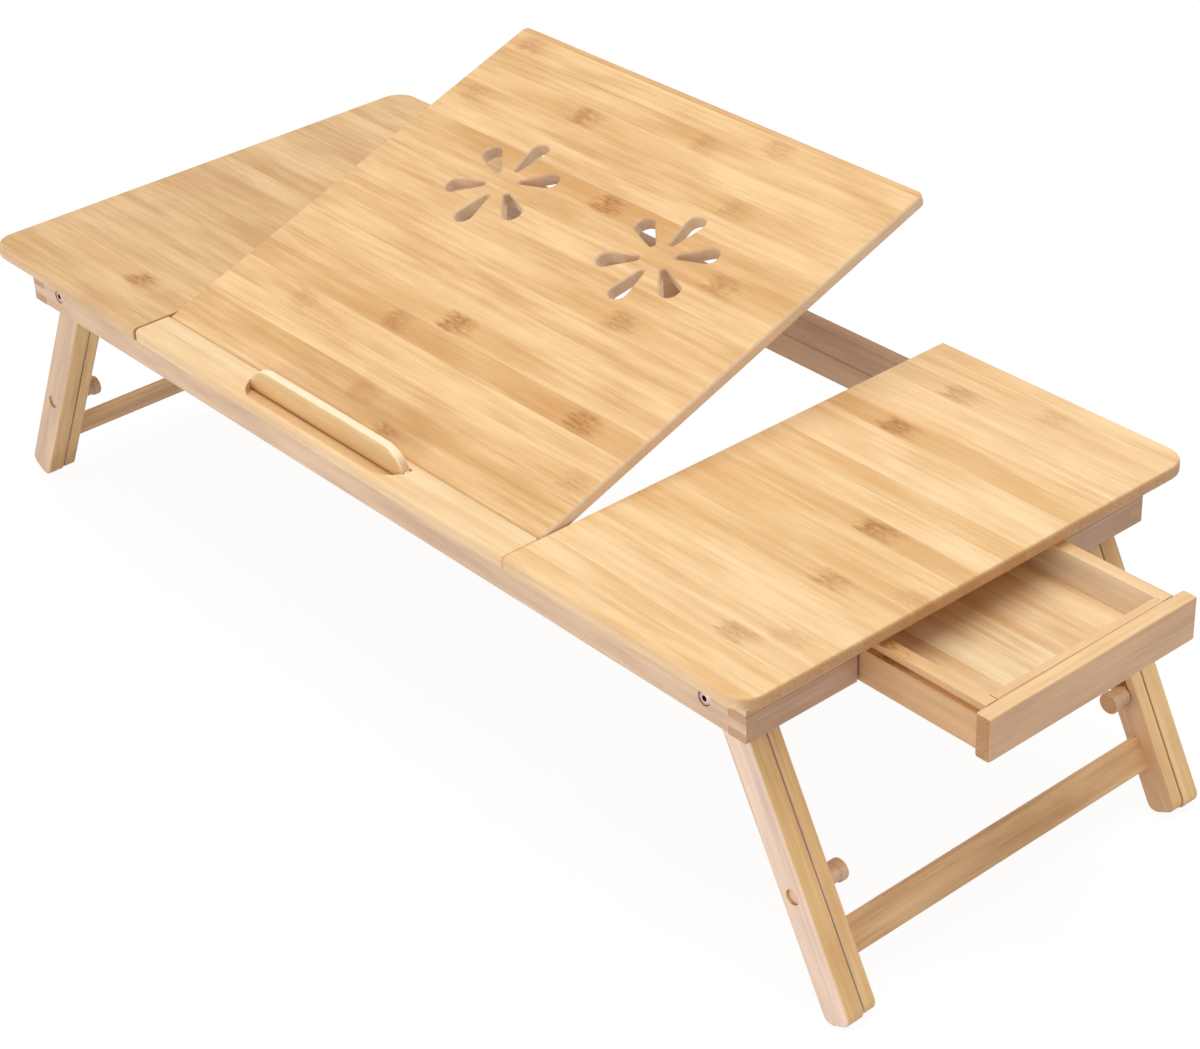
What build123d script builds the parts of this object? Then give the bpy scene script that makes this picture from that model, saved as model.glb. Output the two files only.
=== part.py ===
from build123d import *
import os
from math import cos, radians, sin, sqrt, tan

# Folding lap table of laminated bamboo: fixed side panels, a tilting centre panel held by a prop,
# a stopper that folds into the front strip, a drawer at the right end, and folding legs in two
# sliding boards. Millimetres, +Z up, +X towards the drawer, -Y towards the user.
# The tilting panel, the drawer and the pegs are drawn as they stand in use.

# Table top
table_length = 720
table_depth = 339
top_thickness = 9
top_corner_radius = 16
top_edge_radius = 2.5
seam_edge_radius = 0.8
left_panel_width = 172
right_panel_width = 187.4
panel_gap = 1

# Front strip with its folding stopper
strip_depth = 25.6
strip_end_gap = 0.4
strip_corner_radius = 4
stopper_length = 151
stopper_thickness = 6
stopper_rise = 11.6
stopper_end_radius = 20.5
stopper_edge_radius = 1.5
stopper_pin_radius = 1.25
stopper_pin_embed = 8
pocket_front_rim = 2.3
pocket_clearance = 0.35

# Tilting panel on two pins
tilt_rest = 19.7
hinge_gap = 0.8
tilt_pin_inset = 3
tilt_pin_drop = 3.5
tilt_pin_radius = 1.5
tilt_pin_embed = 22
tilt_washer_radius = 2.8
tilt_washer_clearance = 0.2
tilt_corner_radius = 4.5
tilt_front_radius = 2.5

# Flower vents
vent_spacing = 144
vent_from_pin = 192
petal_count = 6
petal_inner_reach = 13.5
petal_inner_radius = 2
petal_outer_reach = 32.5
petal_outer_radius = 6.2
vent_edge_radius = 2.2

# Prop under the tilting panel, and the racks that it stands on
prop_ratio = 0.645
prop_hinge_reach = 200
prop_length = 138
prop_arm_width = 8
prop_arm_height = 11
prop_arm_spacing = 24
prop_arm_clearance = 0.5
prop_block_length = 10
prop_block_depth = 18
prop_block_floor = 5
prop_rod_radius = 2
prop_bar_radius = 4.5
prop_bar_overhang = 2
rack_thickness = 8
rack_spacing = 48
rack_height = 14
rack_clearance = 0.4
rack_notch_depth = 2.2
rack_tilts = (10, tilt_rest, 27, 33)

# Frame under the top
overhang = 18
rail_height = 33.5
rail_thickness = 10
end_rail_thickness = 13.5
rail_edge_radius = 0.8
finger_count = 6
batten_width = 10
batten_height = 9
batten_inset = 1.5
screw_shank_radius = 1.5
screw_head_radius = 3
screw_head_height = 2
screw_bite = 5
screws_per_batten = 3
screw_end_inset = 45

# Legs: an outer board on a pivot bolt and an inner board that slides down along it
splay = 27
pivot_above_rail_bottom = 12.5
leg_stop_clearance = 0.3
leg_width = 20
leg_length = 192
leg_top_reach = 12
leg_edge_radius = 1.2
outer_board = 12.3
inner_board = 8.5
inner_board_top = 8
inner_setback = 1.2
slide_gap = 0.7
foot_corner_radius = 6
foot_flat_depth = 0.8
extension_travel = 75
guide_dowel_from_top = 8
guide_dowel_radius = 3
guide_groove_depth = 5.2
guide_clearance = 0.3
stretcher_from_pivot = 153
stretcher_width = 20.2
stretcher_thickness = 5
stretcher_inset = 0
stretcher_edge_radius = 1.2
tenon_width = 14
tenon_thickness = 3.2
tenon_length = 5

# Pivot bolts
bolt_radius = 3
bolt_head_radius = 4.2
bolt_head_height = 2.5
bolt_head_edge_radius = 0.8
bolt_socket_radius = 1.8
bolt_socket_depth = 1.7
bolt_recess_depth = 2.8
bolt_recess_clearance = 0.3
bolt_washer_radius = 8
bolt_washer_thickness = 0.5
bolt_nut_radius = 5
bolt_nut_height = 4
leg_side_gap = 0.1

# Height pegs
peg_from_pivot = 117
peg_radius = 4.5
peg_shoulder_radius = 5.4
peg_shoulder_length = 7.7
peg_head_radius = 6.5
peg_head_height = 5.5
peg_head_edge_radius = 1.2
peg_tip_recess = 1.8
peg_clearance = 0.25
height_stops = 5
height_stop_radius = 5.1

# Drawer
drawer_opening = 146
drawer_side_clearance = 2
drawer_top_clearance = 4
drawer_height = 29.4
drawer_length = 150
drawer_wall = 8.3
drawer_edge_radius = 0.8
drawer_out = 87
drawer_closed_gap = 0.3
drawer_front_length = 158
drawer_front_height = 26.5
drawer_front_thickness = 10
drawer_front_end_radius = 2
drawer_front_edge_radius = 1.2
drawer_inner_front = 5.5
drawer_floor_thickness = 4
drawer_floor_above_bottom = 5.4
drawer_floor_groove = 3.5
drawer_floor_fit = 0.1
drawer_back_rise = 2
runner_below_drawer_top = 4
runner_groove_height = 4.5
runner_groove_depth = 4
runner_clearance = 0.4
guide_thickness = 8
guide_height = 21
drawer_travel_past_rest = 20
drawer_stop_width = 10
drawer_stop_length = 110
drawer_stop_clearance = 0.5

# Fits
pin_fit = 0.02
running_fit = 0.05

# Places worked out from the sizes above
half_length = table_length / 2
half_depth = table_depth / 2
bay_left = -half_length + left_panel_width + panel_gap
bay_right = half_length - right_panel_width - panel_gap
bay_middle = (bay_left + bay_right) / 2
leg_lean = radians(splay)
foot_drop = (
    (leg_length - foot_corner_radius) * cos(leg_lean)
    + (leg_width / 2 - foot_corner_radius) * sin(leg_lean)
    + foot_corner_radius
    - foot_flat_depth
)
rail_bottom = foot_drop - pivot_above_rail_bottom
rail_top = rail_bottom + rail_height
table_height = rail_top + top_thickness
pivot_z = foot_drop
frame_half_x = half_length - overhang
frame_half_y = half_depth - overhang
end_rail_inner_x = frame_half_x - end_rail_thickness
rail_inner_y = frame_half_y - rail_thickness
pivot_x = (
    end_rail_inner_x
    - leg_stop_clearance
    - leg_width / 2 / cos(leg_lean)
    - pivot_above_rail_bottom * tan(leg_lean)
)
finger_height = rail_height / finger_count
outer_face_y = rail_inner_y - bolt_washer_thickness - leg_side_gap
outer_inside_y = outer_face_y - outer_board
inner_face_y = outer_inside_y - slide_gap
inner_inside_y = inner_face_y - inner_board
tilt_pin_y = -half_depth + strip_depth + hinge_gap + tilt_pin_inset
tilt_pin_z = table_height - tilt_pin_drop
tilt_pin_axis = Axis((0, tilt_pin_y, tilt_pin_z), (1, 0, 0))
prop_hinge_drop = top_thickness - tilt_pin_drop + prop_arm_height / 2 + prop_arm_clearance
prop_hinge_y = tilt_pin_y + prop_hinge_reach
prop_hinge_z = tilt_pin_z - prop_hinge_drop
prop_hinge_axis = Axis((0, prop_hinge_y, prop_hinge_z), (1, 0, 0))
stopper_pin_y = (
    -half_depth + pocket_front_rim + pocket_clearance + stopper_rise + stopper_thickness / 2
)
stopper_pin_z = table_height - stopper_thickness / 2
drawer_half_width = drawer_opening / 2 - drawer_side_clearance
drawer_top = rail_top - drawer_top_clearance
drawer_bottom = drawer_top - drawer_height
drawer_face_x = frame_half_x + drawer_closed_gap + drawer_out
drawer_back_x = drawer_face_x - drawer_length
drawer_floor_bottom = drawer_bottom + drawer_floor_above_bottom
drawer_floor_top = drawer_floor_bottom + drawer_floor_thickness
runner_top = drawer_top - runner_below_drawer_top - runner_clearance
runner_bottom = drawer_top - runner_below_drawer_top - runner_groove_height + runner_clearance
left_batten_x = -half_length + left_panel_width - batten_inset - batten_width / 2
right_batten_x = half_length - right_panel_width + batten_inset + batten_width / 2


def block(x0, x1, y0, y1, z0, z1):
    """A box between two opposite corners."""
    middle = Pos((x0 + x1) / 2, (y0 + y1) / 2, (z0 + z1) / 2)
    return middle * Box(abs(x1 - x0), abs(y1 - y0), abs(z1 - z0))


def rod_x(x0, x1, y, z, radius):
    """A round bar along X."""
    return Pos((x0 + x1) / 2, y, z) * Cylinder(radius, abs(x1 - x0), rotation=(0, 90, 0))


def rod_y(x, y0, y1, z, radius):
    """A round bar along Y."""
    return Pos(x, (y0 + y1) / 2, z) * Cylinder(radius, abs(y1 - y0), rotation=(90, 0, 0))


def rod_z(x, y, z0, z1, radius):
    """A round bar along Z."""
    return Pos(x, y, (z0 + z1) / 2) * Cylinder(radius, abs(z1 - z0))


def eased_board(x0, x1, y0, y1, corner_edges, corner_radius, seam_edges, seam_radius):
    """A board of the top: chosen corners rounded in plan, its rim eased, its seam eased by itself."""
    board = block(x0, x1, y0, y1, rail_top, table_height)
    board = fillet(corner_edges(board.edges().filter_by(Axis.Z)), corner_radius)
    levels = board.edges().group_by(Axis.Z)
    seam = seam_edges(board.edges())
    rim = [edge for edge in levels[0] + levels[-1] if edge not in seam]
    board = fillet(rim, top_edge_radius)
    return fillet(seam_edges(board.edges()), seam_radius)


def screw_places(batten_x):
    """Where the screws of one cross batten stand."""
    reach = rail_inner_y - screw_end_inset
    step = 2 * reach / (screws_per_batten - 1)
    return [(batten_x, -reach + step * number) for number in range(screws_per_batten)]


def side_panel(side):
    """A fixed panel at one end of the top, bored for the tilt pin and the batten's screws."""
    if side < 0:
        x0, x1 = -half_length, bay_left - panel_gap
        batten_x = left_batten_x
    else:
        x0, x1 = bay_right + panel_gap, half_length
        batten_x = right_batten_x
    outer, inner = (0, -1) if side < 0 else (-1, 0)
    panel = eased_board(
        x0,
        x1,
        -half_depth,
        half_depth,
        lambda edges: edges.group_by(Axis.X)[outer],
        top_corner_radius,
        lambda edges: edges.filter_by(Axis.Y).group_by(Axis.X)[inner],
        seam_edge_radius,
    )
    inner_x = x1 if side < 0 else x0
    panel -= rod_x(
        inner_x, inner_x + side * tilt_pin_embed, tilt_pin_y, tilt_pin_z, tilt_pin_radius + pin_fit
    )
    for x, y in screw_places(batten_x):
        panel -= rod_z(x, y, rail_top, rail_top + screw_bite, screw_shank_radius + pin_fit)
    return panel


def front_strip():
    """The fixed strip in front of the tilting panel, with the pocket that the stopper folds into."""
    strip = eased_board(
        bay_left - panel_gap + strip_end_gap,
        bay_right + panel_gap - strip_end_gap,
        -half_depth,
        -half_depth + strip_depth,
        lambda edges: edges.group_by(Axis.Y)[0],
        strip_corner_radius,
        lambda edges: edges.filter_by(Axis.X).group_by(Axis.Y)[-1],
        seam_edge_radius,
    )
    strip -= stopper_pocket()
    pin_half = stopper_length / 2 + stopper_pin_embed
    return strip - rod_x(
        bay_middle - pin_half,
        bay_middle + pin_half,
        stopper_pin_y,
        stopper_pin_z,
        stopper_pin_radius + pin_fit,
    )


def stopper_face():
    """The stopper's outline, standing up from its pin at the origin, with ends in long arcs."""
    height = stopper_rise + stopper_thickness / 2
    half = stopper_length / 2
    run = sqrt(height * (2 * stopper_end_radius - height))
    arc_middle_drop = stopper_end_radius - sqrt(stopper_end_radius**2 - (run / 2) ** 2)
    outline = Line((half, 0), (-half, 0))
    outline += ThreePointArc(
        (-half, 0), (-half + run / 2, height - arc_middle_drop), (-half + run, height)
    )
    outline += Line((-half + run, height), (half - run, height))
    outline += ThreePointArc((half - run, height), (half - run / 2, height - arc_middle_drop), (half, 0))
    return make_face(Plane.XZ * outline)


def stopper_pocket():
    """The room in the strip for the stopper lying forward, and for its round foot as it turns."""
    reach = stopper_thickness / 2 + pocket_clearance
    room = extrude(offset(stopper_face(), pocket_clearance), reach, both=True).rotate(Axis.X, 90)
    half = stopper_length / 2 + pocket_clearance
    room += block(-half, half, -reach, reach, -reach, reach)
    return Pos(bay_middle, stopper_pin_y, stopper_pin_z) * room


def stopper():
    """The stopper bar standing up, its rounded foot turning on its pin."""
    half = stopper_length / 2
    bar = extrude(stopper_face(), stopper_thickness / 2, both=True)
    rim = bar.edges().filter_by(lambda edge: edge.length > stopper_thickness + 1 and edge.center().Z > 0.1)
    bar = fillet(rim, stopper_edge_radius)
    bar += rod_x(-half, half, 0, 0, stopper_thickness / 2)
    bar -= rod_x(-half, half, 0, 0, stopper_pin_radius + running_fit)
    return Pos(bay_middle, stopper_pin_y, stopper_pin_z) * bar


def stopper_pin():
    """The steel pin of the stopper, held at both ends in the strip."""
    half = stopper_length / 2 + stopper_pin_embed
    return rod_x(bay_middle - half, bay_middle + half, stopper_pin_y, stopper_pin_z, stopper_pin_radius)


def flower_vent():
    """Six tapered petals round a centre, as one cutter through the panel."""
    narrow = Pos(0, petal_inner_reach) * Circle(petal_inner_radius)
    wide = Pos(0, petal_outer_reach) * Circle(petal_outer_radius)
    petal = make_hull(narrow.edges() + wide.edges())
    cutter = extrude(petal, 2 * top_thickness, both=True)
    return [Rot(0, 0, number * 360 / petal_count) * cutter for number in range(petal_count)]


def tilt_panel():
    """The tilting panel lying flat, with its vents and pin holes."""
    panel = eased_board(
        bay_left,
        bay_right,
        tilt_pin_y - tilt_pin_inset,
        half_depth,
        lambda edges: edges.group_by(Axis.Y)[-1],
        tilt_corner_radius,
        lambda edges: edges.filter_by(Axis.X).group_by(Axis.Y)[0],
        tilt_front_radius,
    )
    vent_y = tilt_pin_y + vent_from_pin
    reach = petal_outer_reach + petal_outer_radius
    for side in (-1, 1):
        centre = Pos(bay_middle + side * vent_spacing / 2, vent_y, tilt_pin_z)
        for petal in flower_vent():
            panel -= centre * petal
    top_edges = panel.edges().group_by(Axis.Z)[-1]
    vent_edges = top_edges.filter_by(
        lambda edge: abs(edge.center().Y - vent_y) < reach
        and abs(edge.center().X - bay_middle) < vent_spacing / 2 + reach
    )
    panel = fillet(vent_edges, vent_edge_radius)
    for edge, inwards in ((bay_left, 1), (bay_right, -1)):
        end = edge + inwards * tilt_pin_embed
        panel -= rod_x(edge, end, tilt_pin_y, tilt_pin_z, tilt_pin_radius + running_fit)
    return panel


def tilt_pins():
    """The two pins, each half in a fixed panel and half in the tilting panel."""
    pins = []
    for gap_start in (bay_left - panel_gap, bay_right):
        x0 = gap_start - tilt_pin_embed
        x1 = gap_start + panel_gap + tilt_pin_embed
        pins.append(rod_x(x0, x1, tilt_pin_y, tilt_pin_z, tilt_pin_radius))
    return pins


def tilt_washers():
    """Spacer washers on the pins in the gaps beside the tilting panel."""
    washers = []
    for gap_start in (bay_left - panel_gap, bay_right):
        x0 = gap_start + tilt_washer_clearance
        x1 = gap_start + panel_gap - tilt_washer_clearance
        washer = rod_x(x0, x1, tilt_pin_y, tilt_pin_z, tilt_washer_radius)
        washers.append(washer - rod_x(x0, x1, tilt_pin_y, tilt_pin_z, tilt_pin_radius + pin_fit))
    return washers


def prop_block(side):
    """A block under the tilting panel that holds one end of the prop's rod."""
    near = bay_middle + side * (prop_arm_spacing / 2 + prop_arm_width / 2 + prop_arm_clearance)
    far = near + side * prop_block_length
    lump = block(
        near,
        far,
        prop_hinge_y - prop_block_depth / 2,
        prop_hinge_y + prop_block_depth / 2,
        prop_hinge_z - prop_block_floor,
        rail_top,
    )
    return lump - rod_x(near, far, prop_hinge_y, prop_hinge_z, prop_rod_radius + pin_fit)


def prop_rod():
    """The steel rod through both blocks and both arms."""
    half = prop_arm_spacing / 2 + prop_arm_width / 2 + prop_arm_clearance + prop_block_length
    return rod_x(bay_middle - half, bay_middle + half, prop_hinge_y, prop_hinge_z, prop_rod_radius)


def prop_arm(side):
    """One arm of the prop folded flat under the panel, round at both ends."""
    x0 = bay_middle + side * prop_arm_spacing / 2 - prop_arm_width / 2
    x1 = x0 + prop_arm_width
    foot_y = prop_hinge_y - prop_length
    half = prop_arm_height / 2
    arm = block(x0, x1, foot_y, prop_hinge_y, prop_hinge_z - half, prop_hinge_z + half)
    for end_y in (foot_y, prop_hinge_y):
        arm += rod_x(x0, x1, end_y, prop_hinge_z, half)
    arm -= rod_x(x0, x1, prop_hinge_y, prop_hinge_z, prop_rod_radius + running_fit)
    return arm - rod_x(x0, x1, foot_y, prop_hinge_z, prop_bar_radius + pin_fit)


def prop_foot_bar():
    """The round bar at the foot of the prop, long enough to lie across both racks."""
    half = rack_spacing / 2 + rack_thickness / 2 + prop_bar_overhang
    return rod_x(
        bay_middle - half, bay_middle + half, prop_hinge_y - prop_length, prop_hinge_z, prop_bar_radius
    )


def foot_bar_place(tilt):
    """Y and Z of the foot bar's axis when the panel stands at this tilt in degrees."""
    turn = radians(tilt)
    lean = radians(tilt * (1 + prop_ratio))
    y = tilt_pin_y + prop_hinge_reach * cos(turn) + prop_hinge_drop * sin(turn) - prop_length * cos(lean)
    z = tilt_pin_z + prop_hinge_reach * sin(turn) - prop_hinge_drop * cos(turn) - prop_length * sin(lean)
    return y, z


def prop_rack(side):
    """A notched bearer from the front rail to the back rail that the foot bar rides on."""
    lowest = min(foot_bar_place(tilt)[1] for tilt in range(round(max(rack_tilts)) + 1))
    top = lowest - prop_bar_radius - rack_clearance
    middle = bay_middle + side * rack_spacing / 2
    x0 = middle - rack_thickness / 2
    x1 = middle + rack_thickness / 2
    rack = block(x0, x1, -rail_inner_y, rail_inner_y, top - rack_height, top)
    notch_radius = prop_bar_radius + rack_clearance
    for tilt in rack_tilts:
        notch_y = foot_bar_place(tilt)[0]
        rack -= rod_x(x0, x1, notch_y, top + notch_radius - rack_notch_depth, notch_radius)
    return rack


def end_rail_fingers():
    """The levels of the end rails' fingers, every second one from the bottom."""
    starts = [rail_bottom + number * finger_height for number in range(0, finger_count, 2)]
    return [(start, start + finger_height) for start in starts]


def long_rail(side):
    """The front or back rail: fingers at both ends, bored and recessed for the pivot bolts."""
    outer_y = side * frame_half_y
    inner_y = side * rail_inner_y
    recess_y = outer_y - side * bolt_recess_depth
    rail = block(-frame_half_x, frame_half_x, outer_y, inner_y, rail_bottom, rail_top)
    rail = fillet(rail.edges().filter_by(Axis.X).group_by(Axis.Z)[0], rail_edge_radius)
    for end in (-1, 1):
        for low, high in end_rail_fingers():
            rail -= block(end * end_rail_inner_x, end * frame_half_x, outer_y, inner_y, low, high)
        rail -= rod_y(end * pivot_x, outer_y, inner_y, pivot_z, bolt_radius + pin_fit)
        rail -= rod_y(
            end * pivot_x, outer_y, recess_y, pivot_z, bolt_head_radius + bolt_recess_clearance
        )
    return rail


def end_rail(side, y0, y1):
    """A rail across one end of the frame, with fingers through each long rail that it meets."""
    x0 = side * end_rail_inner_x
    x1 = side * frame_half_x
    rail = block(x0, x1, max(y0, -rail_inner_y), min(y1, rail_inner_y), rail_bottom, rail_top)
    for low, high in end_rail_fingers():
        rail += block(x0, x1, y0, y1, low, high)
    return fillet(rail.edges().filter_by(Axis.Y).group_by(Axis.Z)[0], rail_edge_radius)


def cross_batten(batten_x):
    """A batten from rail to rail under the inner edge of a fixed panel."""
    batten = block(
        batten_x - batten_width / 2,
        batten_x + batten_width / 2,
        -rail_inner_y,
        rail_inner_y,
        rail_top - batten_height,
        rail_top,
    )
    for x, y in screw_places(batten_x):
        batten -= rod_z(x, y, rail_top - batten_height, rail_top, screw_shank_radius + pin_fit)
        batten -= rod_z(
            x,
            y,
            rail_top - batten_height,
            rail_top - batten_height + screw_head_height + pin_fit,
            screw_head_radius + pin_fit,
        )
    return batten


def panel_screws():
    """Screws up through the battens into the fixed panels."""
    screws = []
    low = rail_top - batten_height
    for batten_x in (left_batten_x, right_batten_x):
        for x, y in screw_places(batten_x):
            head = rod_z(x, y, low, low + screw_head_height, screw_head_radius)
            screws.append(head + rod_z(x, y, low, rail_top + screw_bite, screw_shank_radius))
    return screws


def leg_board(start, end, face_y, thickness):
    """A leg board hanging straight down from the pivot at the origin, then leaned out and cut level."""
    half = leg_width / 2
    board = block(-half, half, -face_y, -face_y + thickness, -end, -start)
    uprights = board.edges().filter_by(Axis.Y).group_by(Axis.Z)
    board = fillet(uprights[0], foot_corner_radius)
    rims = board.edges().group_by(Axis.Y)
    board = fillet(rims[0] + rims[-1], leg_edge_radius)
    board = board.rotate(Axis.Y, -splay)
    level = foot_drop - (leg_length - end) * cos(leg_lean)
    return board - block(
        -leg_length, leg_length, -half_depth, half_depth, -level - leg_length, -level
    )


def along_leg(distance, across=0):
    """X and Z, from the pivot, of a point on a right leg this far down its middle line."""
    x = distance * sin(leg_lean) + across * cos(leg_lean)
    z = -distance * cos(leg_lean) + across * sin(leg_lean)
    return x, z


def leg_bore(distance, y0, y1, radius):
    """A round cutter across a leg, this far down its middle line."""
    x, z = along_leg(distance)
    return rod_y(x, y0, y1, z, radius)


def leg_slot(first, last, y0, y1, radius):
    """A cutter for a slot with round ends along a leg's middle line."""
    slot = block(-radius, radius, y0, y1, -last, -first).rotate(Axis.Y, -splay)
    for distance in (first, last):
        slot += leg_bore(distance, y0, y1, radius)
    return slot


def outer_leg():
    """The outer board of the right front leg, with bolt and peg holes and the guide groove inside."""
    board = leg_board(-leg_top_reach, leg_length, outer_face_y, outer_board)
    board -= leg_bore(0, -outer_face_y, -outer_inside_y, bolt_radius + running_fit)
    board -= leg_bore(peg_from_pivot, -outer_face_y, -outer_inside_y, peg_radius + peg_clearance)
    guide_start = inner_board_top + guide_dowel_from_top
    board -= leg_slot(
        guide_start,
        guide_start + extension_travel,
        -outer_inside_y - guide_groove_depth,
        -outer_inside_y,
        guide_dowel_radius + guide_clearance,
    )
    return board


def inner_leg():
    """The sliding inner board, with its height slot, dowel hole and the stretcher's mortise."""
    board = leg_board(inner_board_top, leg_length - inner_setback, inner_face_y, inner_board)
    slot_top = peg_from_pivot - extension_travel
    board -= leg_slot(
        slot_top, peg_from_pivot, -inner_face_y, -inner_inside_y, peg_radius + peg_clearance
    )
    for number in range(height_stops):
        distance = slot_top + extension_travel * number / (height_stops - 1)
        board -= leg_bore(distance, -inner_face_y, -inner_inside_y, height_stop_radius)
    board -= leg_bore(
        inner_board_top + guide_dowel_from_top, -inner_face_y, -inner_inside_y, guide_dowel_radius + pin_fit
    )
    return board - stretcher_tenon()


def guide_dowel():
    """The dowel in the inner board that runs in the outer board's groove."""
    tip = -outer_inside_y - guide_groove_depth + guide_clearance
    return leg_bore(inner_board_top + guide_dowel_from_top, tip, -inner_inside_y, guide_dowel_radius)


def stretcher_bar(width, thickness, half_span):
    """A bar across between the inner boards, set on the inner half of their width."""
    middle = stretcher_inset - stretcher_thickness / 2
    return block(
        middle - thickness / 2,
        middle + thickness / 2,
        -half_span,
        half_span,
        -stretcher_from_pivot - width / 2,
        -stretcher_from_pivot + width / 2,
    )


def stretcher_tenon():
    """The tenons of the stretcher as one bar, leaned with the legs."""
    return stretcher_bar(tenon_width, tenon_thickness, inner_inside_y + tenon_length).rotate(Axis.Y, -splay)


def stretcher():
    """The stretcher with its eased edges and tenons."""
    bar = stretcher_bar(stretcher_width, stretcher_thickness, inner_inside_y)
    bar = fillet(bar.edges().filter_by(Axis.Y), stretcher_edge_radius)
    return bar.rotate(Axis.Y, -splay) + stretcher_tenon()


def peg():
    """A height peg of the right front leg: stem, shoulder and round head."""
    tip = -outer_face_y + peg_tip_recess
    shoulder = -inner_inside_y + slide_gap
    head = shoulder + peg_shoulder_length
    x, z = along_leg(peg_from_pivot)
    knob = rod_y(x, head, head + peg_head_height, z, peg_head_radius)
    knob = fillet(knob.edges(), peg_head_edge_radius)
    stem = rod_y(x, tip, head, z, peg_radius)
    return stem + rod_y(x, shoulder, head, z, peg_shoulder_radius) + knob


def hexagon_y(y0, y1, radius):
    """A six-sided bar along Y about the pivot."""
    bar = extrude(RegularPolygon(radius, 6), (y1 - y0) / 2, both=True)
    return Pos(0, (y0 + y1) / 2, 0) * bar.rotate(Axis.X, 90)


def pivot_bolt():
    """A pivot bolt of the right front leg with its head sunk in the rail, and a socket in the head."""
    seat_y = -frame_half_y + bolt_recess_depth
    face_y = seat_y - bolt_head_height
    end_y = -outer_inside_y + leg_side_gap + bolt_nut_height
    head = rod_y(0, face_y, seat_y, 0, bolt_head_radius)
    head = fillet(head.edges().group_by(Axis.Y)[0], bolt_head_edge_radius)
    head -= hexagon_y(face_y, face_y + bolt_socket_depth, bolt_socket_radius)
    return head + rod_y(0, seat_y, end_y, 0, bolt_radius)


def pivot_washer():
    """The washer between rail and leg."""
    y0 = -rail_inner_y
    y1 = y0 + bolt_washer_thickness
    return rod_y(0, y0, y1, 0, bolt_washer_radius) - rod_y(0, y0, y1, 0, bolt_radius + pin_fit)


def pivot_nut():
    """The nut on the inner end of the pivot bolt."""
    y0 = -outer_inside_y + leg_side_gap
    y1 = y0 + bolt_nut_height
    return hexagon_y(y0, y1, bolt_nut_radius) - rod_y(0, y0, y1, 0, bolt_radius + pin_fit)


def at_pivot(shape, side, end):
    """A piece drawn for the right front pivot, put at the right or left, front or back one."""
    placed = Pos(pivot_x, 0, pivot_z) * shape
    if side < 0:
        placed = placed.mirror(Plane.YZ)
    if end > 0:
        placed = placed.mirror(Plane.XZ)
    return placed


def at_all_pivots(shape):
    """Four copies of a piece, one for each pivot."""
    return [at_pivot(shape, side, end) for side in (-1, 1) for end in (-1, 1)]


def drawer_guide(side):
    """A board beside the drawer, from the cross batten to the short right rail."""
    return block(
        right_batten_x + batten_width / 2,
        end_rail_inner_x,
        side * drawer_opening / 2,
        side * (drawer_opening / 2 + guide_thickness),
        rail_top - guide_height,
        rail_top,
    )


def drawer_runner(side):
    """The strip on a guide that runs in the groove of a drawer side."""
    return block(
        right_batten_x + batten_width / 2,
        end_rail_inner_x,
        side * (drawer_half_width - runner_groove_depth + runner_clearance),
        side * drawer_opening / 2,
        runner_bottom,
        runner_top,
    )


def drawer_side(side):
    """A drawer side, grooved inside for the floor and outside for its runner."""
    outer_y = side * drawer_half_width
    inner_y = side * (drawer_half_width - drawer_wall)
    wall = block(drawer_back_x, drawer_face_x, outer_y, inner_y, drawer_bottom, drawer_top)
    wall = fillet(wall.edges().filter_by(Axis.X).group_by(Axis.Z)[-1], drawer_edge_radius)
    groove_top = drawer_top - runner_below_drawer_top
    wall -= block(
        drawer_back_x,
        drawer_face_x,
        outer_y,
        outer_y - side * runner_groove_depth,
        groove_top - runner_groove_height,
        groove_top,
    )
    return wall - block(
        drawer_back_x,
        drawer_face_x,
        inner_y,
        inner_y + side * drawer_floor_groove,
        drawer_floor_bottom - drawer_floor_fit,
        drawer_floor_top + drawer_floor_fit,
    )


def drawer_front():
    """The drawer front: a board level with the tops of the sides, rounded at its ends."""
    half = drawer_front_length / 2
    front = block(
        drawer_face_x,
        drawer_face_x + drawer_front_thickness,
        -half,
        half,
        drawer_top - drawer_front_height,
        drawer_top,
    )
    front = fillet(front.edges().filter_by(Axis.Z), drawer_front_end_radius)
    levels = front.edges().group_by(Axis.Z)
    front = fillet(levels[0] + levels[-1], drawer_front_edge_radius)
    floor_half = drawer_half_width - drawer_wall + drawer_floor_groove
    return front - block(
        drawer_face_x,
        drawer_face_x + drawer_floor_groove,
        -floor_half,
        floor_half,
        drawer_floor_bottom - drawer_floor_fit,
        drawer_floor_top + drawer_floor_fit,
    )


def drawer_lining():
    """The inner board behind the drawer front, standing on the floor between the sides."""
    half = drawer_half_width - drawer_wall
    lining = block(
        drawer_face_x - drawer_inner_front,
        drawer_face_x,
        -half,
        half,
        drawer_floor_top + drawer_floor_fit,
        drawer_top,
    )
    return fillet(lining.edges().filter_by(Axis.Y).group_by(Axis.Z)[-1], drawer_edge_radius)


def drawer_back():
    """The drawer back, standing on the floor between the sides and a little higher than they are."""
    half = drawer_half_width - drawer_wall
    return block(
        drawer_back_x,
        drawer_back_x + drawer_wall,
        -half,
        half,
        drawer_floor_top + drawer_floor_fit,
        drawer_top + drawer_back_rise,
    )


def drawer_floor():
    """The drawer floor, let into the sides and the front."""
    half = drawer_half_width - drawer_wall + drawer_floor_groove - drawer_floor_fit
    return block(
        drawer_back_x,
        drawer_face_x + drawer_floor_groove - drawer_floor_fit,
        -half,
        half,
        drawer_floor_bottom,
        drawer_floor_top,
    )


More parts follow.
